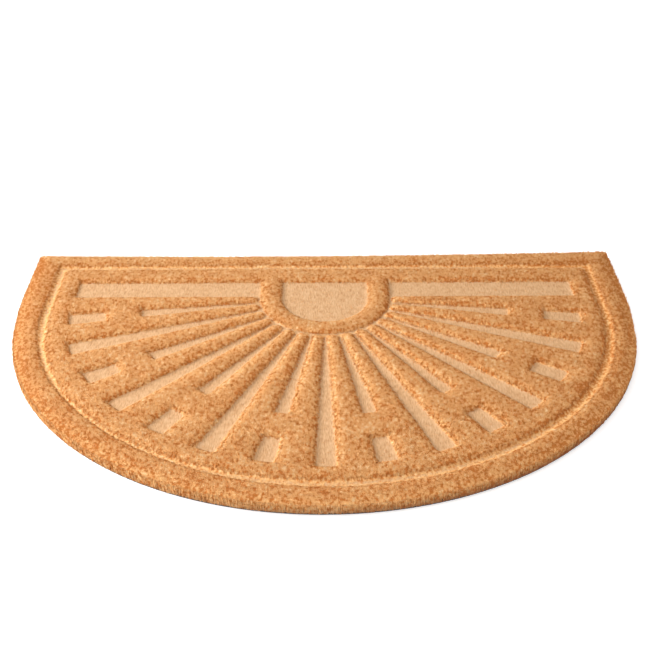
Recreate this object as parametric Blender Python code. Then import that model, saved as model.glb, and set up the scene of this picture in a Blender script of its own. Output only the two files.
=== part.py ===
"""Half-round coir doormat: a coir pile slab with a pressed sunburst, bonded to a thin backing sheet.

Metres, +Z up. The mat lies on the plane z = 0 with its flat edge towards +Y and its round edge
towards -Y. The origin is under the middle of its bounding box.
"""

import math

import bmesh
import bpy

# Overall size. The flat edge is cut a little hollow and runs out towards the right corner.
# The straight sides splay out a little towards the flat edge.
WIDTH = 0.700
DEPTH = 0.4585
MAT_THICKNESS = 0.016
SIDE_RUN = 0.130  # straight part of each side, from the flat edge's line to the round edge
BACK_STRIP = 0.0025  # how much wider the strip behind the border groove is than the groove's inset says
EDGE_HOLLOW = 0.0026  # how far the flat edge dips below its line at the middle
EDGE_SKEW = 0.0028  # how much further the right corner runs out than the middle, and the left less
EDGE_CURVE = 0.0058  # how much both corners run out because of the hollow
SIDE_SPLAY = 0.0033  # how much further out each side stands at the flat edge
SPLAY_FULL = 0.030  # past the round part's end, where the splay is full

# The two layers.
BACKING_THICKNESS = 0.0025
LAYER_GAP = 0.0003
PILE_INSET = 0.0006  # the pile's foot stands this far inside the backing's cut edge
PILE_FLARE = 0.0014  # its top leans out this much further than its foot
RIM_RADIUS = 0.0025  # the pile's soft top rim

# The pressed relief.
RECESS_DEPTH = 0.0055
GROOVE_DEPTH = 0.005
WALL_RUN = 0.0044  # how far a pressed wall slopes in from its rim to its floor
RING_WALL_RUN = 0.0036  # the ring groove's walls are a little steeper
RAY_FLOOR_SHARE = 0.62  # how much of a ray's width is its floor
GROOVE_WALL_RUN = 0.0065  # the border groove's walls are long and shallow
PATTERN_SHIFT = 0.001  # the whole pattern sits this far to the right of the outline's middle
CUTTER_RISE = 0.002  # how far the cutting shapes stand above the pile

# The border groove, measured at its middle line.
GROOVE_HALF_WIDTH = 0.3215
GROOVE_BACK_INSET = 0.0275  # from the flat edge's line
GROOVE_SIDE_RUN = 0.131
GROOVE_FRONT_RADIUS = 0.2895  # semi-axis of the groove's round part, front to back
GROOVE_WIDTH = 0.0175
GROOVE_DRIFT = 0.0016  # around the left of the front it strays this much further in
GROOVE_PINCH = 0.0032  # and there each wall stands this much nearer to its middle line

# The sunburst: a half-round sun, the raised ring around it, a thin groove, rays and two bars.
SUN_INSET = 0.096  # from the flat edge's line to the centre that the rays point at
SUN_RADIUS = 0.055
SUN_TOP_INSET = 0.0575
RING_RADIUS = 0.072  # outer edge of the raised ring
RING_GROOVE_WIDTH = 0.010
BAR_END = 0.298
BAR_FRONT_INSET = 0.098
RAY_COUNT = 15
RAY_STEP = math.radians(11.6)
RAY_START = 0.077
RAY_END = 0.304
RAY_WIDTH_AT_START = 0.0095
RAY_WIDTH_AT_END = 0.031

# Short rays stop early and go on as a dash: ray numbers from the left, then the radii in metres.
SHORT_RAYS = [
    # (numbers, ray end, dash start, dash end)
    ((1, 15), 0.218, 0.250, 0.300),
    ((3, 5, 7, 9, 11, 13), 0.227, 0.258, 0.303),
]

ROUND_STEPS = 80  # points along the round edge and the border groove's round part
EDGE_STEPS = 16  # points along the flat edge
SUN_STEPS = 24
RIM_STEPS = 3

EDGE_LINE_Y = DEPTH / 2 - (BACK_STRIP + EDGE_CURVE + EDGE_SKEW - EDGE_HOLLOW)
ROUND_DEPTH = DEPTH / 2 + EDGE_LINE_Y - SIDE_RUN  # semi-axis of the round edge, front to back
SUN_Y = EDGE_LINE_Y - SUN_INSET
PILE_BOTTOM = BACKING_THICKNESS + LAYER_GAP
RECESS_FLOOR = MAT_THICKNESS - RECESS_DEPTH
GROOVE_FLOOR = MAT_THICKNESS - GROOVE_DEPTH


def clear_scene():
    for item in list(bpy.data.objects):
        bpy.data.objects.remove(item, do_unlink=True)


def material(name, colour, roughness):
    """A Principled material with one colour and roughness."""
    result = bpy.data.materials.new(name)
    result.use_nodes = True
    shader = result.node_tree.nodes["Principled BSDF"]
    shader.inputs["Base Color"].default_value = (*colour, 1.0)
    shader.inputs["Roughness"].default_value = roughness
    shader.inputs["Metallic"].default_value = 0.0
    return result


def loft(name, loops, closed_ring=False):
    """An object skinned through loops of equal length. A ring joins its last loop to its first."""
    mesh = bpy.data.meshes.new(name)
    bm = bmesh.new()
    rows = [[bm.verts.new(point) for point in loop] for loop in loops]
    count = len(rows[0])
    pairs = list(zip(rows, rows[1:]))
    if closed_ring:
        pairs.append((rows[-1], rows[0]))
    else:
        bm.faces.new(list(reversed(rows[0])))
        bm.faces.new(rows[-1])
    for low, high in pairs:
        for i in range(count):
            j = (i + 1) % count
            bm.faces.new((low[i], low[j], high[j], high[i]))
    bmesh.ops.recalc_face_normals(bm, faces=bm.faces[:])
    bm.to_mesh(mesh)
    bm.free()
    result = bpy.data.objects.new(name, mesh)
    bpy.context.scene.collection.objects.link(result)
    return result


def flat_edge_y(x, inset):
    """The hollow, slightly skew line of the flat edge."""
    u = x / (WIDTH / 2)
    return EDGE_LINE_Y + BACK_STRIP - EDGE_HOLLOW + EDGE_SKEW * u + EDGE_CURVE * u * u - inset


def arc(radius_x, radius_y, centre_y, steps, start=0.0, end=math.pi):
    """Points from the right over the front to the left, as (x, y)."""
    angles = [start + (end - start) * i / steps for i in range(steps + 1)]
    return [(radius_x * math.cos(a), centre_y - radius_y * math.sin(a)) for a in angles]


def mat_outline(inset):
    """The mat's half-round outline, drawn in by an inset."""
    half = WIDTH / 2 - inset
    start = EDGE_LINE_Y - SIDE_RUN
    end = start + SPLAY_FULL
    points = arc(half, ROUND_DEPTH - inset, start, ROUND_STEPS) + [(-half, end)]
    for i in range(EDGE_STEPS + 1):
        x = half * (2 * i / EDGE_STEPS - 1)
        points.append((x, flat_edge_y(x, inset)))
    points.append((half, end))
    return [(x * splay(y, end), y) for x, y in points]


def splay(y, end):
    """How many times wider the outline is here than without the splay."""
    part = min(1.0, max(0.0, 1 - (end - y) / (2 * SPLAY_FULL)))
    return 1 + SIDE_SPLAY / (WIDTH / 2) * part * part * (3 - 2 * part)


def groove_outline(offset):
    """The border groove's middle line, moved outwards by an offset. It is uneven at the left front."""
    points = []
    for i in range(ROUND_STEPS + 1):
        angle = math.pi * i / ROUND_STEPS
        uneven = max(0.0, -math.sin(2 * angle)) ** 2
        reach = offset - uneven * (GROOVE_DRIFT + GROOVE_PINCH * offset / (GROOVE_WIDTH / 2))
        x = (GROOVE_HALF_WIDTH + reach) * math.cos(angle)
        y = EDGE_LINE_Y - GROOVE_SIDE_RUN - (GROOVE_FRONT_RADIUS + reach) * math.sin(angle)
        points.append((x, y))
    half = GROOVE_HALF_WIDTH + offset
    back = EDGE_LINE_Y - GROOVE_BACK_INSET + offset
    return points + [(-half, back), (half, back)]


def at_height(points, z, shift=0.0):
    return [(x + shift, y, z) for x, y in points]


def pressing(name, rim, floor, floor_z):
    """A cutting shape whose walls run from the floor outline up to the rim outline."""
    sections = [(floor, floor_z), (rim, MAT_THICKNESS), (rim, MAT_THICKNESS + CUTTER_RISE)]
    result = loft(name, [at_height(outline, z, PATTERN_SHIFT) for outline, z in sections])
    result.hide_render = True
    result.display_type = "WIRE"
    return result


def border_groove():
    """A ring-shaped cutting shape that follows the outline."""
    half = GROOVE_WIDTH / 2
    rise = MAT_THICKNESS + CUTTER_RISE
    sections = [
        (half, rise),
        (half, MAT_THICKNESS),
        (half - GROOVE_WALL_RUN, GROOVE_FLOOR),
        (GROOVE_WALL_RUN - half, GROOVE_FLOOR),
        (-half, MAT_THICKNESS),
        (-half, rise),
    ]
    loops = [at_height(groove_outline(offset), z, PATTERN_SHIFT) for offset, z in sections]
    result = loft("cutter_border_groove", loops, closed_ring=True)
    result.hide_render = True
    result.display_type = "WIRE"
    return result


def sun():
    """The half-round sun with its short straight sides."""

    def outline(inset):
        radius = SUN_RADIUS - inset
        top = EDGE_LINE_Y - SUN_TOP_INSET - inset
        return arc(radius, radius, SUN_Y, SUN_STEPS) + [(-radius, top), (radius, top)]

    return pressing("cutter_sun", outline(0.0), outline(WALL_RUN), RECESS_FLOOR)


def ring_groove():
    """The thin groove around the raised ring. Its ends run on into the two bars."""

    def outline(inset):
        inner = RING_RADIUS + inset
        outer = RING_RADIUS + RING_GROOVE_WIDTH - inset
        run_on = math.asin(RING_WALL_RUN / RING_RADIUS)
        near = arc(inner, inner, SUN_Y, SUN_STEPS, -run_on, math.pi + run_on)
        far = arc(outer, outer, SUN_Y, SUN_STEPS, -run_on, math.pi + run_on)
        return far + near[::-1]

    return pressing("cutter_ring_groove", outline(0.0), outline(RING_WALL_RUN), RECESS_FLOOR)


def bar(name, side):
    """One of the two bars beside the ring; side is 1 for the right and -1 for the left."""

    def outline(inset):
        near = side * (RING_RADIUS + inset)
        far = side * (BAR_END - inset)
        back = EDGE_LINE_Y - SUN_TOP_INSET - inset
        front = EDGE_LINE_Y - BAR_FRONT_INSET + inset
        return [(near, back), (near, front), (far, front), (far, back)]

    return pressing(name, outline(0.0), outline(WALL_RUN), RECESS_FLOOR)


def ray_width(radius):
    grown = (radius - RAY_START) / (RAY_END - RAY_START)
    return RAY_WIDTH_AT_START + grown * (RAY_WIDTH_AT_END - RAY_WIDTH_AT_START)


def ray(name, number, start, end):
    """A tapered pressing that points at the sun's centre, between two radii."""
    angle = (number - (RAY_COUNT + 1) / 2) * RAY_STEP
    along = (math.sin(angle), -math.cos(angle))
    across = (math.cos(angle), math.sin(angle))

    def outline(inset, share):
        corners = [(start + inset, -1), (end - inset, -1), (end - inset, 1), (start + inset, 1)]
        points = []
        for radius, side in corners:
            reach = side * share * ray_width(radius) / 2
            x = radius * along[0] + reach * across[0]
            y = SUN_Y + radius * along[1] + reach * across[1]
            points.append((x, y))
        return points

    return pressing(name, outline(0.0, 1.0), outline(WALL_RUN, RAY_FLOOR_SHARE), RECESS_FLOOR)


def sunburst_rays():
    """Long rays and, between them, short rays that each go on as a dash."""
    short = {n: radii for numbers, *radii in SHORT_RAYS for n in numbers}
    cutters = []
    for number in range(1, RAY_COUNT + 1):
        end = RAY_END
        if number in short:
            end, dash_start, dash_end = short[number]
            cutters.append(ray(f"cutter_dash_{number:02d}", number, dash_start, dash_end))
        cutters.append(ray(f"cutter_ray_{number:02d}", number, RAY_START, end))
    return cutters


def cut(target, cutters):
    for cutter in cutters:
        modifier = target.modifiers.new(cutter.name, "BOOLEAN")
        modifier.operation = "DIFFERENCE"
        modifier.solver = "EXACT"
        modifier.object = cutter


def build_backing():
    result = loft(
        "backing",
        [at_height(mat_outline(0.0), 0.0), at_height(mat_outline(0.0), BACKING_THICKNESS)],
    )
    result.data.materials.append(material("backing_sheet", (0.03, 0.03, 0.035), 0.6))
    return result


def build_pile():
    """The coir slab: sides that lean out a little, a soft top rim, and every pressing cut into its top."""
    loops = [at_height(mat_outline(PILE_INSET), PILE_BOTTOM)]
    for i in range(RIM_STEPS + 1):
        angle = math.pi / 2 * i / RIM_STEPS
        inset = PILE_INSET - PILE_FLARE + RIM_RADIUS * (1 - math.cos(angle))
        height = MAT_THICKNESS - RIM_RADIUS * (1 - math.sin(angle))
        loops.append(at_height(mat_outline(inset), height))
    result = loft("coir_pile", loops)
    result.data.materials.append(material("coir", (0.72, 0.36, 0.12), 0.95))
    cutters = [border_groove(), sun(), bar("cutter_bar_left", -1), bar("cutter_bar_right", 1)]
    cut(result, cutters + [ring_groove()] + sunburst_rays())
    return result


def main():
    clear_scene()
    build_backing()
    build_pile()


main()
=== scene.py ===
"""Half-round coir doormat: its pile, pressed relief and backing, and a small studio, built round the frame.

Metres, +Z up, in the frame's own axes: the straight edge towards +Y, the round edge towards -Y.
"""

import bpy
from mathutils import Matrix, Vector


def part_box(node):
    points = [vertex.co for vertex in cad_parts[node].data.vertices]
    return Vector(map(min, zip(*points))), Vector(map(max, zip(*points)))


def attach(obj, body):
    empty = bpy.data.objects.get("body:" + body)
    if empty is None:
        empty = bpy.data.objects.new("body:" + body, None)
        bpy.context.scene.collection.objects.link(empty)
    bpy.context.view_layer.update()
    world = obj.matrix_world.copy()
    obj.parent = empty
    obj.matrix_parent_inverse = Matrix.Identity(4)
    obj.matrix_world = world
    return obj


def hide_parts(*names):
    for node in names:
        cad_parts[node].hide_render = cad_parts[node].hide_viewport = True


bl_info = {
    "name": "Half-round coir doormat",
    "version": (1, 0, 0),
    "blender": (4, 5, 0),
    "location": "3D View > Sidebar > Doormat",
    "description": "Builds a half-round coir doormat with a pressed sunburst, and a studio around it",
    "category": "Add Mesh",
}

import math

import bmesh
import bpy
import numpy as np
from bpy.props import FloatProperty, FloatVectorProperty, IntProperty, PointerProperty
from mathutils import Matrix, Vector, noise
from mathutils.bvhtree import BVHTree
from mathutils.kdtree import KDTree

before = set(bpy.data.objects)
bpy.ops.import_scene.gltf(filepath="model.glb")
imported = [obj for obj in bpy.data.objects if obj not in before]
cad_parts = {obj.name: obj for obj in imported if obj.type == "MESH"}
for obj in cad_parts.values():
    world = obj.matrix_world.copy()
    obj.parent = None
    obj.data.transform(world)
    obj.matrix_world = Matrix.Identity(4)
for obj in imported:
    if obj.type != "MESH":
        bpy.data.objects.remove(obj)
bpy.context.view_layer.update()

PILE_LOW, PILE_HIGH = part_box("coir_pile")
BAKE_MAP = "OFBake"
IMAGE_SIDE = 650  # the picture is square, in pixels
DOWN = Vector((0.0, 0.0, -1.0))
FLAT = 0.99  # a face whose normal is this close to upright or upside down is a flat one
SAME_POINT = 1e-6  # metres; points this near to each other are one
SAME_LEVEL = 1e-4  # metres; heights this near to each other are one

# Heights in the pile.
TOP = PILE_HIGH.z
RECESS_DEPTH = 0.0055
FLOOR = TOP - RECESS_DEPTH  # the pressed floors
UPPER_SIDE = FLOOR - 0.001  # what lies higher is on the pile's upper side

# Distances on the mat, in plan. A blur is the width over which a share rises or falls.
PAST_RIM = 0.0045  # a pressed rim has pile this far past it, and the mat's own rim has none
FIRM_EDGE = 0.003  # this close to its cut edge the mat keeps its drawn shape
FIRM_BLUR = 0.004
GROOVE_OUTER = 0.022  # from the cut edge to the border groove's lower walls
GROOVE_INNER = 0.033  # and to where they end on its far side
GROOVE_BLUR = 0.002
RIGHT_START = 0.2  # from the mat's middle to its right end
RIGHT_BLUR = 0.1
EDGE_HOLD = 0.3  # the share of the crown's width that counts fully as the mat's edge
EDGE_PITCH = 0.001  # between the points that stand for an edge
STRAY_SIZE = 0.007  # the length of a pressed edge's strays

# Painted shade: how much darker and browner the coir is painted in each place, where its setting is 1.
ROUND_EDGE_PAINTED_SHADE = 0.55  # at the round cut edge
ENDS_EDGE_PAINTED_SHADE = 0.45  # more than that where the cut edge faces left or right
STRAIGHT_EDGE_PAINTED_SHADE = 0.65  # less than that along the straight edge
WALL_PAINTED_SHADE = 0.6  # on a pressed wall
RIGHT_WALL_PAINTED_SHADE = 0.4  # more than that where it faces the right
BACK_WALL_PAINTED_SHADE = 0.3  # less than that where it faces the straight edge
SHOULDER_PAINTED_SHADE = 0.9  # on the pile's top beside a pressed rim
SHOULDER_WIDTH = 0.004
GROOVE_PAINTED_SHADE = 0.7  # in the right of the border groove

# Seeds of the smooth noises.
STRAY_SEEDS = (23.0, 29.0)
LUMP_SEED = 5.0
FINE_RIPPLE_SEED = 3.0
CLUMP_SEEDS = (11.0, 17.0)


def length(name, description, default, lowest=0.00001, highest=0.1):
    return FloatProperty(
        name=name, description=description, default=default, min=lowest, max=highest,
        precision=5, subtype="DISTANCE", unit="LENGTH",
    )


def colour(name, description, default):
    return FloatVectorProperty(
        name=name, description=description, default=default, min=0.0, max=1.0, size=3, subtype="COLOR",
    )


def share(name, description, default, highest=1.0):
    return FloatProperty(name=name, description=description, default=default, min=0.0, max=highest)


def count(name, description, default):
    return IntProperty(name=name, description=description, default=default, min=0)


def angle(name, description, degrees):
    return FloatProperty(
        name=name, description=description, default=math.radians(degrees), min=0.02, max=math.pi,
        subtype="ANGLE", unit="ROTATION",
    )


def power(name, description, default):
    return FloatProperty(name=name, description=description, default=default, min=0.0, unit="POWER")


class PileSettings(bpy.types.PropertyGroup):
    """Sizes of the coir pile."""

    grid: length("Bed grid", "Mesh size of the pile's bed", 0.00205)
    foot: count("Soft feet", "Rounds of smoothing where a pressed wall meets its floor", 3)
    shoulder: count("Soft shoulders", "Rounds of smoothing where a pressed wall meets the pile's top", 18)
    stray: length("Stray edges", "How far the pressed edges stray from their drawn line", 0.0008)
    crown: length("Crown", "How far the pile falls away at the mat's edge", 0.0030)
    crown_width: length("Crown width", "How far in from the mat's edge the pile starts to fall away", 0.022)
    lump: length("Lump height", "How far the raised pile's lumps rise and fall", 0.00035)
    lump_size: length("Lump size", "Width of the raised pile's lumps", 0.0034)
    ripple: length("Pressed ripple", "How far the pressed floors rise and fall", 0.00022)
    fibre_pitch: length("Fibre pitch", "From one cut fibre to the next", 0.00124)
    fibre_width: length("Fibre width", "Width of a cut fibre at its root", 0.0011)
    fibre_height: length("Fibre height", "How far a cut fibre stands out of the bed", 0.0013)
    uneven: length("Uneven cut", "How far single fibres rise and fall", 0.0003)
    lean: length("Fibre lean", "How far a single fibre's tip leans", 0.0003)
    clump_lean: length("Clump lean", "How far the fibres of one clump lean together", 0.0007)
    border_lean: length("Border lean", "How far the fibres at the mat's edge lean outwards", 0.0005)
    wall_pitch: length("Wall fibre pitch", "From one fibre to the next along a pressed wall", 0.0012)
    wall_width: length("Wall fibre width", "Width of a fibre on a pressed wall", 0.0009)
    side_pitch: length("Side fibre pitch", "From one fibre to the next along the cut edge", 0.0008)
    side_width: length("Side fibre width", "Width of a fibre on the cut edge", 0.0011)
    side_layers: count("Side layers", "Layers of fibres on the cut edge", 2)
    loose_fibres: count("Loose fibres", "Fibres lying on the mat", 3000)
    loose_length: length("Loose fibre length", "Length of a fibre lying on the mat", 0.0045)
    loose_width: length("Loose fibre width", "Width of a fibre lying on the mat", 0.00028)
    seed: count("Seed", "Seed of every random draw", 7)


class ColourSettings(bpy.types.PropertyGroup):
    """Colours of the coir and the backing."""

    dark: colour("Dark coir", "The darkest fibres and the gaps between them", (0.60, 0.21, 0.045))
    middle: colour("Coir", "Most of the pile", (0.83, 0.458, 0.178))
    light: colour("Light coir", "The lightest fibre tips", (0.93, 0.67, 0.37))
    # painted shade: the dark colour at the foot of the cut edge, strongest where the edge faces away from
    # the light
    foot: colour("Foot", "The foot of the mat's cut edge, where it is darkest", (0.25, 0.075, 0.025))
    # The next two settings scale painted shade: darker, browner coir along the mat's cut edge, and on the
    # pressed walls, their shoulders and the groove's right end.
    border_painted_shade: share("Border brown", "How much browner the coir is at the mat's trimmed edge", 1.0)
    wall_painted_shade: share("Wall brown", "How much browner the coir is down the pressed walls", 1.0, highest=3.0)
    pressed: colour("Pressed coir", "The smooth pressed floors", (0.63, 0.367, 0.181))
    pressed_dark: colour("Pressed speck", "Darker specks in the pressed floors", (0.50, 0.257, 0.109))
    pressed_light: colour("Pressed fibre", "Lighter fibres in the pressed floors", (0.725, 0.457, 0.257))
    backing: colour("Backing", "The sheet under the pile", (0.03, 0.028, 0.034))


class StudioSettings(bpy.types.PropertyGroup):
    """Lights and floor."""

    key_power: power("Key power", "Power of the key light on the mat's left", 2.25)
    key_long: length("Key length", "Long side of the key light, level with the floor", 0.7, highest=5.0)
    key_short: length("Key height", "Short side of the key light", 0.35, highest=5.0)
    key_spread: angle("Key spread", "Opening angle of the key light's beam", 49.0)
    fill_power: power("Fill power", "Power of the wide light above the front left", 11.0)
    fill_side: length("Fill side", "Side of the square wide light", 1.6, highest=5.0)
    sky: share("Sky", "Brightness of the white surroundings", 0.65, highest=5.0)
    floor: colour("Floor", "The plain pale floor", (0.90, 0.90, 0.90))
    glow: share("Floor glow", "How much the floor shines by itself, like a light table", 0.5)


class Relief:
    """A surface of the pile, read as heights and outlines."""

    def __init__(self, mesh):
        self.mesh = mesh
        corners = [v.co for v in mesh.vertices]
        self.tree = BVHTree.FromPolygons(corners, [p.vertices[:] for p in mesh.polygons])

    def drop(self, x, y):
        """The point and normal where a plumb line meets the pile, or None beside the mat."""
        well_above = 1.0
        place, normal, _, _ = self.tree.ray_cast(Vector((x, y, well_above)), DOWN)
        return None if place is None else (place, normal)

    def outline(self, level, facing):
        """Edges round the flat faces at one height, as (start, end, way out of the face)."""
        edges = {}
        for face in self.mesh.polygons:
            if face.normal.z * facing < FLAT or abs(face.center.z - level) > SAME_LEVEL:
                continue
            points = [self.mesh.vertices[i].co for i in face.vertices]
            keys = [tuple(round(c / SAME_POINT) for c in p) for p in points]
            for i, key in enumerate(keys):
                j = (i + 1) % len(keys)
                if edges.pop((keys[j], key), None) is None:
                    edges[key, keys[j]] = (points[i], points[j])
        result = []
        for start, end in edges.values():
            run = end - start
            way = Vector((run.y, -run.x, 0.0)).normalized() * facing
            result.append((start, end, way))
        return result

    def pressed_rims(self):
        """The edges of the pile's top where the pressed pattern starts, without the mat's own rim."""
        return [edge for edge in self.outline(TOP, 1) if self.goes_on(edge)]

    def goes_on(self, edge):
        """True where the mat goes on past the edge."""
        start, end, way = edge
        middle = (start + end) / 2 + way * PAST_RIM
        return self.drop(middle.x, middle.y) is not None


def points_of(mesh):
    co = np.empty(len(mesh.vertices) * 3)
    mesh.vertices.foreach_get("co", co)
    return co.reshape(-1, 3)


def smoothed(co, mesh, rounds):
    """Points drawn halfway to the middle of their neighbours, several times over."""
    edges = np.empty(len(mesh.edges) * 2, dtype=np.int32)
    mesh.edges.foreach_get("vertices", edges)
    edges = edges.reshape(-1, 2)
    here, there = np.concatenate([edges, edges[:, ::-1]]).T
    neighbours = np.bincount(here, minlength=len(co))[:, None]
    for _ in range(rounds):
        around = np.stack([np.bincount(here, co[there, k], len(co)) for k in range(3)], 1)
        co = (co + around / neighbours) / 2
    return co


def nearest(co, edges):
    """How far each point lies from these edges, in plan, and their way out there."""
    points, ways = along(edges, EDGE_PITCH, np.random.default_rng(0))
    tree = KDTree(len(points))
    for i, point in enumerate(points):
        tree.insert((point[0], point[1], 0.0), i)
    tree.balance()
    found = [tree.find((p[0], p[1], 0.0)) for p in co]
    return np.array([f[2] for f in found]), ways[[f[1] for f in found]]


def to_edge(co, relief):
    """How far in from the mat's cut edge each point lies, in plan, and the way out there."""
    return nearest(co, relief.outline(PILE_LOW.z, -1))


def soft_pile(sizes, relief):
    """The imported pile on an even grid, with softened, slightly straying pressed edges. It is made once."""
    mesh = bpy.data.meshes.get("soft_pile")
    if mesh is not None:
        return mesh
    source = placed("soft_source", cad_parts["coir_pile"].data.copy(), None)
    remesh = source.modifiers.new("grid", "REMESH")
    remesh.mode = "VOXEL"
    remesh.voxel_size = sizes.grid
    evaluated = source.evaluated_get(bpy.context.evaluated_depsgraph_get())
    mesh = bpy.data.meshes.new_from_object(evaluated)
    mesh.name = "soft_pile"
    bpy.data.objects.remove(source)
    co = points_of(mesh)
    inset, _ = to_edge(co, relief)
    inner = rise(inset, FIRM_EDGE, FIRM_BLUR)[:, None]
    close = smoothed(co, mesh, sizes.foot)
    wide = smoothed(close, mesh, sizes.shoulder)
    close[:, 2] = np.minimum(close[:, 2], wide[:, 2])
    co += (close - co) * inner
    straying = (co[:, 2:] > UPPER_SIDE) * inner
    co[:, :2] += plan_noise(co, STRAY_SIZE, STRAY_SEEDS) * sizes.stray * straying
    fall = (1 - rise(inset, 0.0, sizes.crown_width)) ** 2
    co[:, 2] -= fall * sizes.crown * rise(co[:, 2], PILE_LOW.z, TOP - PILE_LOW.z)
    mesh.vertices.foreach_set("co", co.ravel())
    mesh.update()
    return mesh


def along(edges, pitch, draw):
    """Points about a pitch apart along edges, with each edge's way out."""
    points, ways = [], []
    for start, end, way in edges:
        places = np.arange(draw.uniform(0, pitch), (end - start).length, pitch)
        for place in places:
            points.append(start.lerp(end, place / (end - start).length))
            ways.append(way)
    return np.array(points), np.array(ways)


def scattered(pitch, draw, wander=0.38):
    """A loose triangular grid of plan points over the mat."""
    rows = np.arange(PILE_LOW.y, PILE_HIGH.y, pitch * math.sqrt(0.75))
    columns = np.arange(PILE_LOW.x, PILE_HIGH.x, pitch)
    x, y = np.meshgrid(columns, rows)
    x = x + (np.arange(len(rows)) % 2)[:, None] * pitch / 2
    points = np.stack([x.ravel(), y.ravel()], axis=1)
    return points + draw.uniform(-wander, wander, points.shape) * pitch


def rough(points, size, seed=0.0):
    """Smooth noise from about -1 to 1, with bumps of about the given size, at each point."""
    return np.array([noise.noise(Vector(p) / size + Vector((seed, seed, seed))) for p in points])


def plan_noise(points, size, seeds):
    """Smooth noise along x and along y."""
    return np.stack([rough(points, size, seed) for seed in seeds], 1)


def lump_heights(points, sizes):
    """How far the raised pile's lumps rise or fall at each point."""
    return rough(points, sizes.lump_size, LUMP_SEED) * sizes.lump


def rise(values, start, run):
    """0 up to the start, then rising to 1 over the run."""
    return np.clip((values - start) / run, 0.0, 1.0)


def edge_share(inset, sizes):
    """1 at the mat's cut edge, falling to 0 a little past its crown."""
    return 1 - rise(inset, EDGE_HOLD * sizes.crown_width, sizes.crown_width)


def groove_share(inset):
    """1 along the border groove's floor and lower walls, 0 elsewhere."""
    return rise(inset, GROOVE_OUTER, GROOVE_BLUR) * (1 - rise(inset, GROOVE_INNER, GROOVE_BLUR))


def right_share(co):
    """0 over most of the mat and 1 on its right end."""
    return rise(co[:, 0], RIGHT_START, RIGHT_BLUR)


def wall_facing_painted_shade(facing):
    """Painted shade on a pressed wall: darkest where it faces the right or the round edge, away from the
    light.
    """
    return WALL_PAINTED_SHADE + RIGHT_WALL_PAINTED_SHADE * facing[:, 0] - BACK_WALL_PAINTED_SHADE * facing[:, 1]


def painted_foot_shade(ways):
    """Painted shade at the cut edge's foot: 0 where it faces left, towards the light, 0.5 in front and 1
    where it faces right.
    """
    return np.clip(0.5 + 0.5 * ways[:, 0], 0.0, 1.0)


def edge_and_wall_painted_shade(co, high, relief, sizes, tints):
    """Painted shade, as darker and browner coir: at the trimmed edge, in the groove's right, and on the
    pressed walls and their shoulders.
    """
    inset, ways = to_edge(co, relief)
    towards_ends = np.abs(ways[:, 0])
    towards_back = np.clip(ways[:, 1], 0.0, 1.0)
    # painted shade along the cut edge, where the pile falls away from the light
    trimmed = ROUND_EDGE_PAINTED_SHADE + ENDS_EDGE_PAINTED_SHADE * towards_ends - STRAIGHT_EDGE_PAINTED_SHADE * towards_back
    apart, facing = nearest(co, relief.pressed_rims())
    # painted shade on the pile's top beside the pressed rims, and down the pressed walls
    shoulders = SHOULDER_PAINTED_SHADE * (1 - rise(apart, 0.0, SHOULDER_WIDTH))
    pressed = (1 - high + shoulders) * wall_facing_painted_shade(facing)
    # painted shade in the border groove at the mat's right end
    groove = GROOVE_PAINTED_SHADE * groove_share(inset) * right_share(co)
    return trimmed * edge_share(inset, sizes) * tints.border_painted_shade + (pressed + groove) * tints.wall_painted_shade


def raised_share(heights):
    """0 on the pressed floors and 1 on the full pile."""
    return rise(heights, FLOOR, TOP - FLOOR)


def unit(vectors):
    return vectors / np.linalg.norm(vectors, axis=1, keepdims=True)


def sideways(ways):
    """The way along an edge, for each way out of it."""
    return np.stack([-ways[:, 1], ways[:, 0], np.zeros(len(ways))], 1)


def cut_fibres(roots, tips, widths, tip_widths, draw):
    """Four-cornered fibres: an edge at the root and, crosswise to it, a cut edge at the tip."""
    turns = draw.uniform(0, math.tau, len(roots))
    level = np.zeros(len(roots))
    across = np.stack([np.cos(turns), np.sin(turns), level], 1) * widths[:, None] / 2
    other = np.stack([-np.sin(turns), np.cos(turns), level], 1) * tip_widths[:, None] / 2
    return np.stack([roots - across, roots + across, tips - other, tips + other], 1)


def strands(roots, tips, widths, draw, slant=0.0, bows=None):
    """Three-sided strands, ring after ring. widths has one column a ring."""
    number, levels = widths.shape
    axis = unit(tips - roots)
    steep = 0.8
    upright = np.abs(axis[:, 2:]) > steep
    helper = np.where(upright, [[1.0, 0.0, 0.0]], [[0.0, 0.0, 1.0]])
    across = unit(np.cross(axis, helper))
    other = np.cross(axis, across)
    turns = draw.uniform(0, math.tau, number)[:, None] + np.arange(3) * math.tau / 3
    spokes = np.cos(turns)[..., None] * across[:, None] + np.sin(turns)[..., None] * other[:, None]
    rings = np.empty((number, levels, 3, 3))
    for level in range(levels):
        part = level / (levels - 1)
        middle = roots + (tips - roots) * part
        if bows is not None:
            middle = middle + bows * math.sin(math.pi * part)
        rings[:, level] = middle[:, None] + spokes * widths[:, level, None, None] / 2
    rings[:, -1] += axis[:, None] * draw.uniform(-slant, slant, (number, 3, 1))
    return rings.reshape(number, levels * 3, 3)


def fibre_pattern():
    """A cut fibre's faces with their places in its patch of the map, and each corner's reach."""
    leg = 0.45
    half = [(0.0, 0.0), (leg, 0.0), (0.0, leg)]
    faces = []
    for i, corners in enumerate([(0, 1, 2), (0, 3, 1), (1, 3, 2), (0, 2, 3)]):
        shift = (i % 2 * 0.5, i // 2 * 0.5)
        faces.append((corners, [(u + shift[0], v + shift[1]) for u, v in half]))
    return faces, [0.0, 0.0, 1.0, 1.0]


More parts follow.
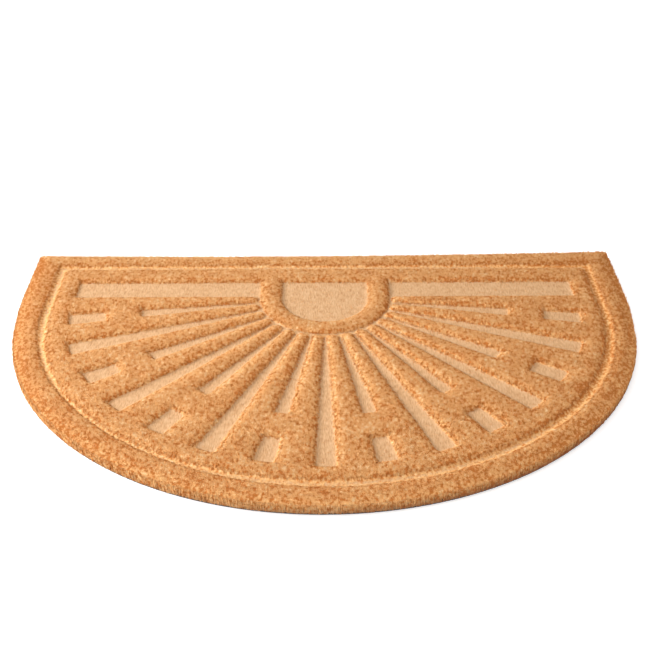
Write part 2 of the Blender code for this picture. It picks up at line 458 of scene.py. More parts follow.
def strand_pattern(levels):
    """A three-sided strand's faces with their places in its patch, and each corner's reach."""
    wall_top = 0.7
    faces = []
    for level in range(levels - 1):
        low, high = (wall_top * (level + k) / (levels - 1) for k in (0, 1))
        for side in range(3):
            after = (side + 1) % 3
            first, second = level * 3, (level + 1) * 3
            left, right = side / 3, (side + 1) / 3
            corners = (first + side, first + after, second + after, second + side)
            faces.append((corners, [(left, low), (right, low), (right, high), (left, high)]))
    cap_low = 0.75
    last = (levels - 1) * 3
    faces.append(((last, last + 1, last + 2), [(0.0, cap_low), (0.45, cap_low), (0.2, 1.0)]))
    faces.append(((2, 1, 0), [(0.5, cap_low), (0.95, cap_low), (0.7, 1.0)]))
    return faces, [level / (levels - 1) for level in range(levels) for _ in range(3)]


PATCH_FILL = 0.9  # how much of its patch in the bake's map a fibre fills


def many(name, corners, pattern, finish, shades_and_tones=None):
    """One object of many like fibres, each with its own patch in the bake's map and its own value of painted
    shade and tone.
    """
    faces, reach = pattern
    number, each, _ = corners.shape
    first = np.arange(number)[:, None] * each
    grid = math.ceil(math.sqrt(number))
    patch = np.stack([np.arange(number) % grid, np.arange(number) // grid], axis=1)[:, None]
    loops = np.concatenate([(first + face).ravel() for face, _ in faces])
    sizes = np.concatenate([np.full(number, len(face)) for face, _ in faces])
    places = [((patch + np.array(spots) * PATCH_FILL) / grid).ravel() for _, spots in faces]
    mesh = bpy.data.meshes.new(name)
    mesh.vertices.add(number * each)
    mesh.vertices.foreach_set("co", corners.ravel())
    mesh.loops.add(len(loops))
    mesh.loops.foreach_set("vertex_index", loops.astype(np.int32))
    mesh.polygons.add(len(sizes))
    mesh.polygons.foreach_set("loop_start", (np.cumsum(sizes) - sizes).astype(np.int32))
    mesh.update(calc_edges=True)
    layer = mesh.uv_layers.new(name=BAKE_MAP)
    layer.uv.foreach_set("vector", np.concatenate(places).astype(np.float32))
    store(mesh, "reach", np.tile(reach, number))
    if shades_and_tones is not None:
        store(mesh, "brown", np.repeat(shades_and_tones, each))
    return part_of_mat(placed(name, mesh, finish))


def store(mesh, name, values):
    """Keeps a value for every point of a mesh, for its finish to read."""
    layer = mesh.attributes.new(name, "FLOAT", "POINT")
    layer.data.foreach_set("value", values.astype(np.float32))


def placed(name, mesh, finish):
    """An object of this mesh in the scene, in its finish."""
    result = bpy.data.objects.new(name, mesh)
    bpy.context.scene.collection.objects.link(result)
    if finish is not None:
        mesh.materials.clear()
        mesh.materials.append(finish)
    return result


def part_of_mat(piece):
    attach(piece, "root")
    return piece


class Value:
    """A socket of a finish. Arithmetic on it adds Math nodes."""

    def __init__(self, finish, socket):
        self.finish = finish
        self.socket = socket

    def math(self, operation, first, second):
        return self.finish.node("ShaderNodeMath", {"operation": operation}, {0: first, 1: second})

    def __add__(self, other):
        return self.math("ADD", self, other)

    def __sub__(self, other):
        return self.math("SUBTRACT", self, other)

    def __rsub__(self, other):
        return self.math("SUBTRACT", other, self)

    def __mul__(self, other):
        return self.math("MULTIPLY", self, other)

    def __truediv__(self, other):
        return self.math("DIVIDE", self, other)

    __radd__ = __add__
    __rmul__ = __mul__


class Finish:
    """A procedural material in the making."""

    def __init__(self, name, **even):
        self.material = bpy.data.materials.new(name)
        self.material.use_nodes = True
        self.tree = self.material.node_tree
        self.shader = self.tree.nodes["Principled BSDF"]
        for socket, value in even.items():
            self.shader.inputs[socket.replace("_", " ")].default_value = value
        self.where = self.node("ShaderNodeTexCoord", output="Object")

    def feed(self, socket, value):
        if isinstance(value, Value):
            self.tree.links.new(value.socket, socket)
        else:
            socket.default_value = value

    def node(self, kind, settings=None, sockets=None, output=0):
        """Adds a node: its settings first, then the values or links of its sockets."""
        made = self.tree.nodes.new(kind)
        for name, setting in (settings or {}).items():
            if name == "stops":
                self.set_stops(made.color_ramp, setting)
            else:
                setattr(made, name, setting)
        for key, value in (sockets or {}).items():
            self.feed(made.inputs[key], value)
        return Value(self, made.outputs[output])

    def set_stops(self, ramp, stops):
        while len(ramp.elements) < len(stops):
            ramp.elements.new(1.0)
        for element, (position, tint) in zip(ramp.elements, stops):
            element.position = position
            element.color = (*tint, 1.0)

    def stored(self, name):
        """A value that the mesh keeps for its points."""
        return self.node("ShaderNodeAttribute", {"attribute_name": name}, output="Fac")

    def noise(self, size, detail=2.0, roughness=0.5, where=None):
        """Noise with blobs of about this size in metres."""
        vector = where or self.where
        sockets = {"Vector": vector, "Scale": 1 / size, "Detail": detail, "Roughness": roughness}
        return self.node("ShaderNodeTexNoise", {"noise_dimensions": "3D"}, sockets)

    def ramp(self, factor, *stops):
        return self.node("ShaderNodeValToRGB", {"stops": stops}, {"Fac": factor})

    def mix(self, factor, first, second):
        """A colour between two, by a factor."""
        first, second = (c if isinstance(c, Value) else (*c, 1.0) for c in (first, second))
        settings = {"data_type": "RGBA", "blend_type": "MIX"}
        return self.node("ShaderNodeMix", settings, {0: factor, 6: first, 7: second}, output=2)

    def span(self, value, low, high, to_low=0.0, to_high=1.0):
        """A value's stretch from low to high, spread over another stretch."""
        sockets = {"Value": value, "From Min": low, "From Max": high, "To Min": to_low, "To Max": to_high}
        return self.node("ShaderNodeMapRange", {"clamp": True}, sockets)

    def streaks(self, turn, size, stretch):
        """Noise drawn out along one direction in plan."""
        sockets = {"Vector": self.where, "Rotation": (0.0, 0.0, turn), "Scale": (1.0, 1.0 / stretch, 1.0)}
        turned = self.node("ShaderNodeMapping", {"vector_type": "POINT"}, sockets)
        return self.noise(size, 2.0, 0.6, turned)

    def bump(self, height, distance, strength=1.0):
        sockets = {"Height": height, "Distance": distance, "Strength": strength}
        return self.node("ShaderNodeBump", {}, sockets)

    def done(self, **varied):
        for socket, value in varied.items():
            self.feed(self.shader.inputs[socket.replace("_", " ")], value)
        return self.material


# The coir's blotches: their sizes, and how much each adds to the tone that the colours follow.
SPECK_SIZE = 0.0030
FINE_SPECK_SIZE = 0.0012
PATCH_SIZE = 0.022
SPECK_SHARE = 0.72  # the finer specks have the rest
PATCH_SHARE = 0.12
# The next value is painted shade: the coir's tone falls from the mat's middle towards its right end, away
# from the light.
RIGHT_PAINTED_SHADE = 0.03  # how far the tone falls from the mat's middle to its right end
# The next value lowers the tone by the stored painted shade, and by a single fibre's own random tone.
SHADE_AND_TONE_STEP = 0.075  # how far it falls for each 1 of brownness
COIR_TONES = (0.335, 0.48, 0.53, 0.685)  # of the dark coir, both ends of the middle one, and the light

# The pressed floors' felt.
FELT_SIZE = 0.0012
FELT_STRETCH = 5.0
FELT_ANGLES = (0.3, 1.4, 2.5)  # radians
FELT_TONES = (0.38, 0.5, 0.64)
CLOUD_SIZE = 0.009
CLOUD_SHARE = 0.2

# The ragged line where the felt of a floor gives way to the pile.
RAGGED_SIZE = 0.004
RAGGED_HEIGHT = 0.0016
FELT_TOP = FLOOR + 0.0007  # up to here all is felt
PILE_FOOT = FLOOR + 0.0014  # from here on all is pile
GENTLE = 0.5  # a slope whose normal is this upright or more counts by its height alone
STEEP = 0.25  # one whose normal is this upright or less is all pile

# How much of the dark coir is mixed into the fibres.
ROOT_SHADE = 0.3
# The wall fibres' share of dark coir is painted shade down the recess walls.
WALL_ROOT_PAINTED_SHADE = 0.05
WALL_TIP_PAINTED_SHADE = 0.25


def coir_specks(finish, tints, upward=0.3):
    """The pile's blotches of darker and lighter fibre, darkened by painted shade towards the mat's right end
    and where the mesh stores it. A low upward draws them out from top to bottom.
    """
    sockets = {"Vector": finish.where, "Scale": (1.0, 0.8, upward)}
    upright = finish.node("ShaderNodeMapping", {"vector_type": "POINT"}, sockets)
    speck = finish.noise(SPECK_SIZE, 1.0, 0.5, upright)
    fine = finish.noise(FINE_SPECK_SIZE, 1.0, 0.5, upright)
    patch = finish.noise(PATCH_SIZE, 2.0, 0.5)
    across = finish.node("ShaderNodeSeparateXYZ", {}, {0: finish.where}, output="X")
    # painted shade: the coir is made darker towards the mat's right end
    side = finish.span(across, 0.0, PILE_HIGH.x)
    blotches = speck * SPECK_SHARE + fine * (1 - SPECK_SHARE) + (patch - 0.5) * PATCH_SHARE
    # painted shade: the tone falls by the stored painted shade
    tone = blotches - side * RIGHT_PAINTED_SHADE - finish.stored("brown") * SHADE_AND_TONE_STEP
    return finish.ramp(tone, *zip(COIR_TONES, (tints.dark, tints.middle, tints.middle, tints.light)))


def pressed_felt(finish, tints):
    """The pressed floors' fine felt of flattened fibres, as its tone and its colour."""
    first, second, third = (finish.streaks(way, FELT_SIZE, FELT_STRETCH) for way in FELT_ANGLES)
    felt = (first + second + third) / 3
    tone = felt + (finish.noise(CLOUD_SIZE, 3.0, 0.6) - 0.5) * CLOUD_SHARE
    tint = finish.ramp(tone, *zip(FELT_TONES, (tints.pressed_dark, tints.pressed, tints.pressed_light)))
    return felt, tint


def cut_coir(name, tints):
    """Upright cut coir: specked fibre tips over darker roots."""
    finish = Finish(name, Specular_IOR_Level=0.2)
    tips = coir_specks(finish, tints)
    roots = finish.mix(ROOT_SHADE, tips, tints.dark)
    return fibre_finish(finish, roots, tips)


def side_coir(name, tints):
    """Fibre of the cut edge, with painted shade at its foot, most of all towards the mat's right."""
    finish = Finish(name, Specular_IOR_Level=0.2)
    tips = coir_specks(finish, tints, 1.0)
    # painted shade: the stored share darkens the roots towards the foot colour
    roots = finish.mix(finish.stored("foot"), tips, tints.foot)
    return fibre_finish(finish, roots, tips)


def wall_coir(name, tints):
    """Fibre on a pressed wall, darker and browner than on the pile's top: painted shade down the recess
    walls.
    """
    finish = Finish(name, Specular_IOR_Level=0.2)
    specks = coir_specks(finish, tints)
    roots = finish.mix(WALL_ROOT_PAINTED_SHADE, specks, tints.dark)
    tips = finish.mix(WALL_TIP_PAINTED_SHADE, specks, tints.dark)
    return fibre_finish(finish, roots, tips)


def fibre_finish(finish, roots, tips):
    """A fibre's colour from its root to its tip, with a fine grain."""
    root_end, tip_start = 0.2, 0.9
    grain_size, grain_height = 0.0006, 0.0001
    tint = finish.mix(finish.span(finish.stored("reach"), root_end, tip_start), roots, tips)
    grain = finish.noise(grain_size, 2.0, 0.6)
    normal = finish.bump(grain, grain_height, 0.5)
    return finish.done(Base_Color=tint, Roughness=0.78 + grain * 0.2, Normal=normal)


def pressed_coir(name, tints):
    """The bed: pale felted floors where it is pressed, and specked fibre where it is raised."""
    finish = Finish(name, Specular_IOR_Level=0.25)
    felt_relief = 0.0005
    lump_size, lump_relief = 0.0016, 0.0012
    height = finish.node("ShaderNodeSeparateXYZ", {}, {0: finish.where}, output="Z")
    ragged = (finish.noise(RAGGED_SIZE, 2.0, 0.6) - 0.5) * RAGGED_HEIGHT
    pile = finish.span(height + ragged + finish.stored("fringe"), FELT_TOP, PILE_FOOT)
    facing = finish.node("ShaderNodeNewGeometry", output="Normal")
    level = finish.node("ShaderNodeSeparateXYZ", {}, {0: facing}, output="Z")
    raised = pile.math("MAXIMUM", pile, finish.span(level, GENTLE, STEEP))
    felt, floors = pressed_felt(finish, tints)
    tint = finish.mix(raised, floors, coir_specks(finish, tints))
    lumps = finish.noise(lump_size, 2.0, 0.6)
    relief = felt * felt_relief + raised * lumps * lump_relief
    normal = finish.bump(relief, 1.0, 0.7)
    return finish.done(Base_Color=tint, Roughness=0.7 + felt * 0.3, Normal=normal)


def backing_sheet(name, tints):
    """Dark vinyl sheet with a fine pimpled grain and a little dust."""
    pimple_pitch, pimple_height = 0.0022, 0.0003
    dust_size, dust_share = 0.02, 0.35
    dust_tint = (0.07, 0.065, 0.06)
    finish = Finish(name, Specular_IOR_Level=0.35)
    sockets = {"Vector": finish.where, "Scale": 1 / pimple_pitch}
    pimples = finish.node("ShaderNodeTexVoronoi", {"feature": "F1"}, sockets)
    dust = finish.noise(dust_size, 4.0, 0.6)
    tint = finish.mix(finish.span(dust, 0.5, 0.8, 0.0, dust_share), tints.backing, dust_tint)
    normal = finish.bump(pimples, pimple_height, 0.8)
    return finish.done(Base_Color=tint, Roughness=0.5 + dust * 0.25, Normal=normal)


def ground(name, tint, glow):
    """Plain pale floor with a faint unevenness, which shines a little like a light table."""
    finish = Finish(name, Specular_IOR_Level=0.0, Roughness=0.9, Emission_Strength=glow)
    finish.shader.inputs["Emission Color"].default_value = (1.0, 1.0, 1.0, 1.0)
    cloud_size, cloud_share = 0.4, 0.02
    cloud_tint = (0.88, 0.89, 0.9)
    cloud = finish.noise(cloud_size, 2.0, 0.5)
    return finish.done(Base_Color=finish.mix(cloud * cloud_share, tint, cloud_tint))


# The backing's cut edge.
ALMOST_STRAIGHT = 0.01  # radians; corners smaller than this are dropped
EDGE_CUTS = 5  # new points on each of its runs
WAVE_SIZE = 0.006
WAVE_DEPTH = 0.00025
UNDERCUT = 0.0003  # how much further in the sheet's lower edge lies

# The bed.
COARSE_RIPPLE = 0.0035
FINE_RIPPLE = 0.0016
FINE_RIPPLE_SHARE = 0.5
UNDERSIDE = 0.0003  # faces this close to its lowest point are its underside

# The cut pile. Widths are lowest and highest shares of the setting.
LEAST_RAISED = 0.3  # fibres stand where the bed is raised by more than this share
UPRIGHT_PULL = 1.5  # how much more upright they stand than the bed's slope
SHORTEST = 0.35  # the share of its height that a fibre keeps down on a floor
ROOT_DEPTH = 0.0006
CLUMP_SIZE = 0.0045
CUT_WIDTHS = (0.8, 1.2)
TIP_WIDTHS = (0.35, 0.75)  # of the fibre's own width
MOST_FIBRES = 45000  # in one piece

# The wall fibres, as lowest and highest values.
WALL_START = (-0.0004, 0.0026)  # from the pressed rim to the upper end, in plan
WALL_REACH = (0.0022, 0.0036)  # from there to the lower end, in plan
WALL_SWAY = 0.0008
WALL_RISE = (-0.0004, 0.0001)  # of the upper end above the bed
WALL_SINK = 0.0002  # of the lower end into the bed
WALL_FOOT_WIDTHS = (0.7, 1.1)
WALL_TOP_WIDTHS = (0.35, 0.7)
WALL_SLANT = 0.0002  # of its cut end

# The side fibres, as lowest and highest values.
SIDE_FOOT = (0.0007, 0.0019)  # how far the root stands out of the pile's foot
SIDE_FOOT_RISE = (-0.0009, 0.0003)
SIDE_TIP = (0.0006, 0.0026)  # how far the tip stands out
SIDE_TIP_RISE = (-0.0022, 0.0004)
LAYER_IN = 0.0008  # how much further in each layer leans than the one before
LAYER_UP = 0.0006  # and how much higher it reaches
SIDE_SWAY = 0.0009
SIDE_BOW = (-0.0002, 0.0004)
SIDE_WIDTHS = (0.8, 1.1)
SIDE_TAPER = (0.8, 1.0, 0.6)  # the width's shares at the root, the middle and the tip
SIDE_SLANT = 0.0003  # of its cut end
OWN_BROWN = 0.6  # how much browner or paler a single fibre is

# The loose fibres.
LOOSE_LENGTHS = (0.5, 1.3)  # lowest and highest shares of the setting
LOOSE_WIDTHS = (0.7, 1.3)
LOOSE_TAPER = (0.5, 1.0, 0.5)
LIFT_ON_TOP = 0.0002
LIFT_ON_FLOOR = 0.00005
LOOSE_TILT = 0.0002  # how much higher one end may lie
LOOSE_BOW = 0.0006
BOW_SHARES = (1.0, 1.0, 0.2)  # they bow in plan more than up or down

# The groove's floor has some pile on it, which lifts the line where its felt starts.
FRINGE = 0.0004
RIGHT_FRINGE = 0.0008  # more than that at the mat's right end


class Maker:
    """What the operators share."""

    bl_options = {"REGISTER", "UNDO"}

    def setup(self, context):
        self.sizes = context.scene.doormat_pile
        self.tints = context.scene.doormat_colours
        self.studio = context.scene.doormat_studio
        self.chance = np.random.default_rng(self.sizes.seed)
        self.relief = Relief(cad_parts["coir_pile"].data)

    def soft(self):
        return soft_pile(self.sizes, self.relief)


class DOORMAT_OT_backing(Maker, bpy.types.Operator):
    """Lays the thin dark sheet under the pile, with its slightly wavy cut edge."""

    bl_idname = "doormat.backing"
    bl_label = "Backing sheet"

    def execute(self, context):
        self.setup(context)
        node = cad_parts["backing"]
        mesh = bpy.data.meshes.new("backing_sheet")
        bm = bmesh.new()
        bm.from_mesh(node.data)
        bmesh.ops.remove_doubles(bm, verts=bm.verts, dist=SAME_POINT)
        bmesh.ops.dissolve_limit(bm, angle_limit=ALMOST_STRAIGHT, verts=bm.verts, edges=bm.edges)
        rims = [e for e in bm.edges if abs(e.verts[0].co.z - e.verts[1].co.z) < SAME_POINT]
        bmesh.ops.subdivide_edges(bm, edges=rims, cuts=EDGE_CUTS)
        for vertex in bm.verts:
            inwards = abs(noise.noise(vertex.co / WAVE_SIZE) * WAVE_DEPTH)
            if vertex.co.z < SAME_LEVEL:
                inwards += UNDERCUT
            out = Vector((vertex.co.x, vertex.co.y, 0.0)).normalized()
            vertex.co -= out * inwards
        bmesh.ops.recalc_face_normals(bm, faces=bm.faces)
        bm.to_mesh(mesh)
        bm.free()
        piece = placed("backing_sheet", mesh, backing_sheet("backing_vinyl", self.tints))
        part_of_mat(piece)
        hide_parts("backing")
        return {"FINISHED"}


class DOORMAT_OT_bed(Maker, bpy.types.Operator):
    """Makes the pile's bed, which shows on the pressed floors and between the fibres."""

    bl_idname = "doormat.bed"
    bl_label = "Pile bed"

    def execute(self, context):
        self.setup(context)
        sizes = self.sizes
        mesh = self.soft().copy()
        mesh.name = "pile_bed"
        co = points_of(mesh)
        high = raised_share(co[:, 2])
        fine = rough(co, FINE_RIPPLE, FINE_RIPPLE_SEED) * FINE_RIPPLE_SHARE
        ripple = (rough(co, COARSE_RIPPLE) + fine) * sizes.ripple
        lift = ripple * (1 - high) + (lump_heights(co, sizes) - sizes.fibre_height) * high
        co[:, 2] += np.where(co[:, 2] > UPPER_SIDE, lift, 0.0)
        mesh.vertices.foreach_set("co", co.ravel())
        inset, _ = to_edge(co, self.relief)
        # painted shade on the bed: darker, browner coir at the cut edge, the walls, their shoulders and the
        # groove's right end
        store(mesh, "brown", edge_and_wall_painted_shade(co, high, self.relief, sizes, self.tints))
        store(mesh, "fringe", groove_share(inset) * (FRINGE + RIGHT_FRINGE * right_share(co)))
        self.plain_underside(mesh)
        piece = placed("pile_bed", mesh, pressed_coir("coir_pressed", self.tints))
        mesh.shade_smooth()
        part_of_mat(piece)
        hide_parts("coir_pile")
        return {"FINISHED"}

    def plain_underside(self, mesh):
        """Puts one flat face in the place of the grid under the bed."""
        bm = bmesh.new()
        bm.from_mesh(mesh)
        level = min(v.co.z for v in bm.verts) + UNDERSIDE
        under = [f for f in bm.faces if f.normal.z < -FLAT and f.calc_center_median().z < level]
        bmesh.ops.delete(bm, geom=under, context="FACES")
        rim = [e for e in bm.edges if e.is_boundary]
        bmesh.ops.contextual_create(bm, geom=rim)
        bm.to_mesh(mesh)
        bm.free()


class DOORMAT_OT_pile(Maker, bpy.types.Operator):
    """Stands short cut fibres on every raised part of the bed, shorter down the pressed edges."""

    bl_idname = "doormat.pile"
    bl_label = "Cut pile"

    def execute(self, context):
        self.setup(context)
        sizes, draw = self.sizes, self.chance
        soft = Relief(self.soft())
        found = [soft.drop(x, y) for x, y in scattered(sizes.fibre_pitch, draw)]
        found = [f for f in found if f is not None]
        spots = np.array([place for place, _ in found])
        normals = np.array([normal for _, normal in found])
        high = raised_share(spots[:, 2])
        keep = high > LEAST_RAISED
        spots, normals, high = spots[keep], normals[keep], high[keep]
        number = len(spots)
        axis = unit(normals + [0.0, 0.0, UPRIGHT_PULL])
        reach = sizes.fibre_height * (SHORTEST + (1 - SHORTEST) * high)[:, None]
        tips = spots + axis * draw.uniform(-sizes.uneven, sizes.uneven, (number, 1))
        tips[:, 2] += lump_heights(spots, sizes) * high
        roots = tips - axis * (reach + ROOT_DEPTH)
        sway = plan_noise(spots, CLUMP_SIZE, CLUMP_SEEDS) * sizes.clump_lean
        tips[:, :2] += sway + draw.uniform(-sizes.lean, sizes.lean, (number, 2))
        inset, ways = to_edge(spots, self.relief)
        tips += ways * edge_share(inset, sizes)[:, None] * sizes.border_lean
        # painted shade on the fibres at the cut edge, the walls, their shoulders and the groove's right end
        shades_and_tones = edge_and_wall_painted_shade(spots, high, self.relief, sizes, self.tints)
        widths = sizes.fibre_width * draw.uniform(*CUT_WIDTHS, number)
        tip_widths = widths * draw.uniform(*TIP_WIDTHS, number)
        corners = cut_fibres(roots, tips, widths, tip_widths, draw)
        finish = cut_coir("coir_cut", self.tints)
        passes = math.ceil(number / MOST_FIBRES)
        for i in range(passes):
            many(f"pile_fibres_{i + 1}", corners[i::passes], fibre_pattern(), finish, shades_and_tones[i::passes])
        return {"FINISHED"}


class DOORMAT_OT_walls(Maker, bpy.types.Operator):
    """Lays fibres down every wall of the pressed pattern."""

    bl_idname = "doormat.walls"
    bl_label = "Wall fibres"

    def execute(self, context):
        self.setup(context)
        sizes, draw = self.sizes, self.chance
        soft = Relief(self.soft())
        points, ways = along(self.relief.pressed_rims(), sizes.wall_pitch, draw)
        number = len(points)
        starts = points + ways * draw.uniform(*WALL_START, (number, 1))
        ends = starts + ways * draw.uniform(*WALL_REACH, (number, 1))
        starts += sideways(ways) * draw.uniform(-WALL_SWAY, WALL_SWAY, (number, 1))
        tips = np.array([soft.drop(x, y)[0] for x, y in starts[:, :2]])
        roots = np.array([soft.drop(x, y)[0] for x, y in ends[:, :2]])
        tips[:, 2] += draw.uniform(*WALL_RISE, number)
        roots[:, 2] -= WALL_SINK
        foot_widths = draw.uniform(*WALL_FOOT_WIDTHS, number)
        top_widths = draw.uniform(*WALL_TOP_WIDTHS, number)
        widths = np.stack([foot_widths, top_widths], 1) * sizes.wall_width
        corners = strands(roots, tips, widths, draw, WALL_SLANT)
        inset, _ = to_edge(points, self.relief)
        # painted shade down the walls, most where they face away from the light, and in the groove's right
        # end
        shades_and_tones = (wall_facing_painted_shade(ways) + groove_share(inset) * right_share(points)) * self.tints.wall_painted_shade
        many("wall_fibres", corners, strand_pattern(2), wall_coir("coir_wall", self.tints), shades_and_tones)
        return {"FINISHED"}


class DOORMAT_OT_sides(Maker, bpy.types.Operator):
    """Stands long fibres round the mat's cut edge. They hang a little over the backing."""

    bl_idname = "doormat.sides"
    bl_label = "Side fibres"

    def execute(self, context):
        self.setup(context)
        sizes, draw = self.sizes, self.chance
        edges = self.relief.outline(PILE_LOW.z, -1)
        groups, shades_and_tones, feet = [], [], []
        for layer in range(sizes.side_layers):
            points, ways = along(edges, sizes.side_pitch, draw)
            number = len(points)
            roots = points + ways * draw.uniform(*SIDE_FOOT, (number, 1))
            roots[:, 2] = PILE_LOW.z + draw.uniform(*SIDE_FOOT_RISE, number)
            tips = points + ways * (draw.uniform(*SIDE_TIP, (number, 1)) - LAYER_IN * layer)
            tips[:, 2] = TOP - sizes.crown + LAYER_UP * layer + draw.uniform(*SIDE_TIP_RISE, number)
            tips += sideways(ways) * draw.normal(0.0, SIDE_SWAY, (number, 1))
            bows = ways * draw.uniform(*SIDE_BOW, (number, 1))
            widths = draw.uniform(*SIDE_WIDTHS, (number, 3)) * SIDE_TAPER * sizes.side_width
            groups.append(strands(roots, tips, widths, draw, SIDE_SLANT, bows))
            own = draw.uniform(-OWN_BROWN, OWN_BROWN, number)
            # painted shade at the cut edge, plus each fibre's own random tone
            shades_and_tones.append(edge_and_wall_painted_shade(points, 1.0, self.relief, sizes, self.tints) + own)
            # painted shade at the foot, strongest where the edge faces right
            feet.append(painted_foot_shade(ways))
        corners = np.concatenate(groups)
        finish = side_coir("coir_side", self.tints)
        piece = many("side_fibres", corners, strand_pattern(3), finish, np.concatenate(shades_and_tones))
        store(piece.data, "foot", np.repeat(np.concatenate(feet), corners.shape[1]))
        return {"FINISHED"}


class DOORMAT_OT_loose(Maker, bpy.types.Operator):
    """Strews loose fibres over the mat's flat parts, where they lie close."""

    bl_idname = "doormat.loose"
    bl_label = "Loose fibres"

    def execute(self, context):
        self.setup(context)
        sizes, draw = self.sizes, self.chance
        roots, tips = [], []
        while len(roots) < sizes.loose_fibres:
            x = draw.uniform(PILE_LOW.x, PILE_HIGH.x)
            y = draw.uniform(PILE_LOW.y, PILE_HIGH.y)
            way = draw.uniform(0, math.tau)
            reach = sizes.loose_length * draw.uniform(*LOOSE_LENGTHS)
            ends = [(x, y), (x + reach * math.cos(way), y + reach * math.sin(way))]
            found = [self.relief.drop(*end) for end in ends]
            if None in found or not self.level(*found):
                continue
            roots.append(found[0][0])
            tips.append(found[1][0])
        roots, tips = np.array(roots), np.array(tips)
        lift = np.where(roots[:, 2] > TOP - SAME_LEVEL, LIFT_ON_TOP, LIFT_ON_FLOOR)
        roots[:, 2] += lift
        tips[:, 2] += lift + draw.uniform(0.0, LOOSE_TILT, len(tips))
        bows = draw.uniform(-LOOSE_BOW, LOOSE_BOW, (len(tips), 3)) * BOW_SHARES
        widths = draw.uniform(*LOOSE_WIDTHS, (len(tips), 1)) * sizes.loose_width * LOOSE_TAPER
        corners = strands(roots, tips, widths, draw, 0.0, bows)
        many("loose_fibres", corners, strand_pattern(3), cut_coir("coir_loose", self.tints))
        return {"FINISHED"}

    def level(self, first, second):
        """True where both ends lie on flat pile at one height."""
        (start, start_normal), (end, end_normal) = first, second
        return min(start_normal.z, end_normal.z) >= FLAT and abs(start.z - end.z) <= SAME_LEVEL


# The camera and the lights. The camera's values come from the photograph's outline of the mat.
CAMERA_PLACE = (-0.00098, -0.97328, 0.70552)
CAMERA_PITCH = math.radians(33.701)  # down from level
CAMERA_YAW = math.radians(0.0987)
CAMERA_ROLL = math.radians(-0.185)
FOCAL_PIXELS = 1102.9
SENSOR = 36.0  # millimetres
KEY_PLACE = (-1.42, 0.18, 0.72)
KEY_AIM = (0.15, -0.02, 0.0)
FILL_PLACE = (-0.9, -0.6, 1.4)
FLOOR_SIDE = 12.0  # of the square floor


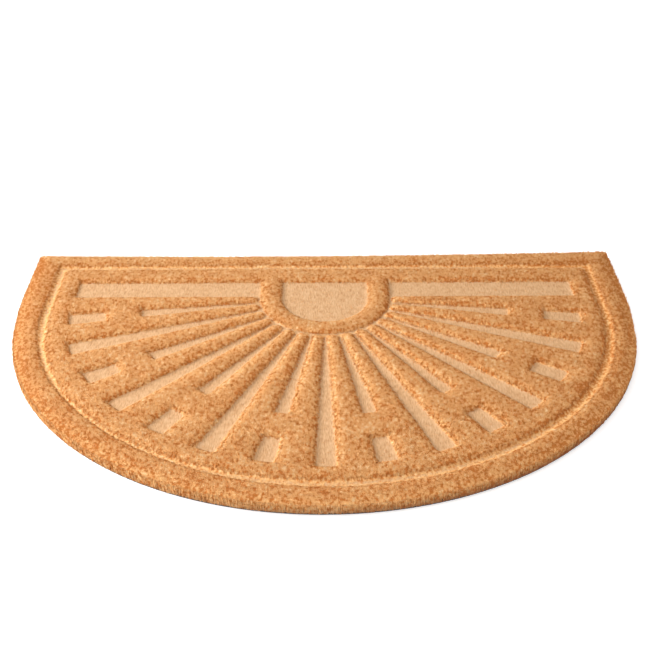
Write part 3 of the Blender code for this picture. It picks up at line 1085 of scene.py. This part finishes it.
class DOORMAT_OT_studio(Maker, bpy.types.Operator):
    """Sets up the pale floor, the lights and the camera."""

    bl_idname = "doormat.studio"
    bl_label = "Studio"

    def execute(self, context):
        self.setup(context)
        studio = self.studio
        self.floor(FLOOR_SIDE / 2)
        self.surroundings(context.scene)
        key = self.lamp("key", KEY_PLACE, KEY_AIM, (studio.key_long, studio.key_short), studio.key_power)
        key.spread = studio.key_spread
        square = (studio.fill_side, studio.fill_side)
        self.lamp("fill", FILL_PLACE, (0.0, 0.0, 0.0), square, studio.fill_power)
        self.camera(context.scene)
        context.scene.view_settings.view_transform = "Standard"
        return {"FINISHED"}

    def floor(self, half):
        mesh = bpy.data.meshes.new("floor")
        corners = [(-half, -half, 0.0), (half, -half, 0.0), (half, half, 0.0), (-half, half, 0.0)]
        mesh.from_pydata(corners, [], [(0, 1, 2, 3)])
        placed("floor", mesh, ground("floor_pale", tuple(self.studio.floor), self.studio.glow))

    def surroundings(self, scene):
        world = bpy.data.worlds.new("white_room")
        world.use_nodes = True
        sky = world.node_tree.nodes["Background"]
        sky.inputs["Color"].default_value = (1.0, 1.0, 1.0, 1.0)
        sky.inputs["Strength"].default_value = self.studio.sky
        scene.world = world

    def lamp(self, name, place, aim, sides, watts):
        """An oblong light that faces a spot on the mat."""
        data = bpy.data.lights.new(name, "AREA")
        data.shape = "RECTANGLE"
        data.size, data.size_y = sides
        data.energy = watts
        lamp = bpy.data.objects.new(name, data)
        lamp.location = place
        lamp.rotation_mode = "QUATERNION"
        lamp.rotation_quaternion = (Vector(aim) - lamp.location).to_track_quat("-Z", "Y")
        bpy.context.scene.collection.objects.link(lamp)
        return data

    def camera(self, scene):
        reach = math.cos(CAMERA_PITCH)
        across, along_y = math.sin(CAMERA_YAW), math.cos(CAMERA_YAW)
        forward = Vector((across * reach, along_y * reach, -math.sin(CAMERA_PITCH)))
        level = Vector((along_y, -across, 0.0))
        up = level.cross(forward)
        right = level * math.cos(CAMERA_ROLL) + up * math.sin(CAMERA_ROLL)
        up = up * math.cos(CAMERA_ROLL) - level * math.sin(CAMERA_ROLL)
        data = bpy.data.cameras.new("camera")
        data.sensor_width = SENSOR
        data.lens = FOCAL_PIXELS / IMAGE_SIDE * SENSOR
        camera = bpy.data.objects.new("camera", data)
        turn = Matrix((right, up, -forward)).transposed()
        camera.matrix_world = Matrix.Translation(CAMERA_PLACE) @ turn.to_4x4()
        scene.collection.objects.link(camera)
        scene.camera = camera


OPERATORS = [
    DOORMAT_OT_pile,
    DOORMAT_OT_walls,
    DOORMAT_OT_sides,
    DOORMAT_OT_loose,
    DOORMAT_OT_backing,
    DOORMAT_OT_bed,
    DOORMAT_OT_studio,
]


class DOORMAT_PT_panel(bpy.types.Panel):
    """Lists the mat's pieces, sizes and colours."""

    bl_label = "Coir doormat"
    bl_space_type = "VIEW_3D"
    bl_region_type = "UI"
    bl_category = "Doormat"

    def draw(self, context):
        scene = context.scene
        for operator in OPERATORS:
            self.layout.operator(operator.bl_idname)
        for settings in (scene.doormat_pile, scene.doormat_colours, scene.doormat_studio):
            box = self.layout.box()
            for name in settings.__annotations__:
                box.prop(settings, name)


SETTINGS = {
    "doormat_pile": PileSettings,
    "doormat_colours": ColourSettings,
    "doormat_studio": StudioSettings,
}
CLASSES = [*SETTINGS.values(), *OPERATORS, DOORMAT_PT_panel]


def register():
    for item in CLASSES:
        bpy.utils.register_class(item)
    for name, group in SETTINGS.items():
        setattr(bpy.types.Scene, name, PointerProperty(type=group))


def unregister():
    for name in SETTINGS:
        delattr(bpy.types.Scene, name)
    for item in reversed(CLASSES):
        bpy.utils.unregister_class(item)


def main():
    register()
    bpy.ops.doormat.pile()
    bpy.ops.doormat.walls()
    bpy.ops.doormat.sides()
    bpy.ops.doormat.loose()
    bpy.ops.doormat.backing()
    bpy.ops.doormat.bed()
    bpy.ops.doormat.studio()


if __name__ == "__main__":
    main()
